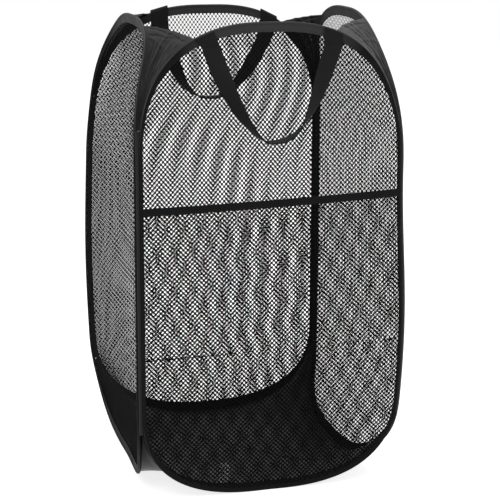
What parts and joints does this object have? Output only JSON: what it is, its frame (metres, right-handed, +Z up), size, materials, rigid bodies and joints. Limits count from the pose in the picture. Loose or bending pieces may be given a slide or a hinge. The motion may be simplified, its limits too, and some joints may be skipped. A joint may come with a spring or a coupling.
{
  "type": "pop up laundry hamper",
  "caption": "Square collapsible hamper of net-filled sprung hoops sewn edge to edge, with corner gussets, cloth base, front net pocket and webbing handles.",
  "frame": {"origin": "on the ground, in the middle of the base", "axes": "+Z up, -Y towards the front with the pocket and the outer handle, +X to the right seen from the front"},
  "size_m": [0.363, 0.3889, 0.63],
  "materials": {
    "binding": "black woven binding tape",
    "spring_steel": "bare spring steel strip",
    "splice_steel": "plated crimped tube",
    "net": "black knitted polyester net",
    "nylon": "thin black nylon with a soft sheen",
    "webbing": "black ribbed webbing",
    "label": "blank satin tape"
  },
  "bodies": {
    "front_side": {"front_sleeve": "binding", "front_spring_strip": "spring_steel", "front_strip_splice": "splice_steel", "front_net": "net", "front_left_seam": "binding", "front_right_seam": "binding", "front_left_gusset": "nylon", "front_right_gusset": "nylon", "base_panel": "nylon", "pocket_net": "net", "pocket_band": "binding", "front_handle_left_tab": "webbing", "front_handle_right_tab": "webbing", "blank_tag": "label"},
    "left_side": {"left_sleeve": "binding", "left_spring_strip": "spring_steel", "left_strip_splice": "splice_steel", "left_net": "net", "back_left_seam": "binding", "back_left_gusset": "nylon"},
    "right_side": {"right_sleeve": "binding", "right_spring_strip": "spring_steel", "right_strip_splice": "splice_steel", "right_net": "net"},
    "back_side": {"back_sleeve": "binding", "back_spring_strip": "spring_steel", "back_strip_splice": "splice_steel", "back_net": "net", "back_handle_left_tab": "webbing", "back_handle_right_tab": "webbing"},
    "back_right_corner": {"back_right_seam": "binding", "back_right_gusset": "nylon"},
    "front_handle": {"front_handle_loop": "webbing"},
    "back_handle": {"back_handle_loop": "webbing"}
  },
  "joints": [
    {"name": "left_fold", "type": "hinge", "parent": "front_side", "child": "left_side", "pos_m": [-0.1765, -0.1765, 0.3], "axis": [0, 0, 1], "range_deg": [-68, 68], "stiffness_Nm_per_rad": 0.05, "deforming": ["front_left_gusset", "base_panel"]},
    {"name": "right_fold", "type": "hinge", "parent": "front_side", "child": "right_side", "pos_m": [0.1765, -0.1765, 0.3], "axis": [0, 0, 1], "range_deg": [-68, 68], "deforming": ["front_right_gusset"]},
    {"name": "back_fold", "type": "hinge", "parent": "left_side", "child": "back_side", "pos_m": [-0.1765, 0.1765, 0.3], "axis": [0, 0, 1], "range_deg": [-68, 68], "deforming": ["back_left_gusset"]},
    {"name": "back_right_fold", "type": "hinge", "parent": "right_side", "child": "back_right_corner", "pos_m": [0.1765, 0.1765, 0.3], "axis": [0, 0, 1], "range_deg": [-68, 68], "deforming": ["back_right_gusset"]},
    {"name": "front_handle_swing", "type": "hinge", "parent": "front_side", "child": "front_handle", "pos_m": [0.001, -0.18015, 0.59845], "axis": [-1, 0, 0], "range_deg": [0, 170]},
    {"name": "back_handle_swing", "type": "hinge", "parent": "back_side", "child": "back_handle", "pos_m": [0.0125, 0.16655, 0.59798], "axis": [-1, 0, 0], "range_deg": [0, 170]}
  ],
  "couplings": [
    {"joint": "right_fold", "follows": "left_fold", "ratio": 1},
    {"joint": "back_fold", "follows": "left_fold", "ratio": -1},
    {"joint": "back_right_fold", "follows": "left_fold", "ratio": -1}
  ]
}
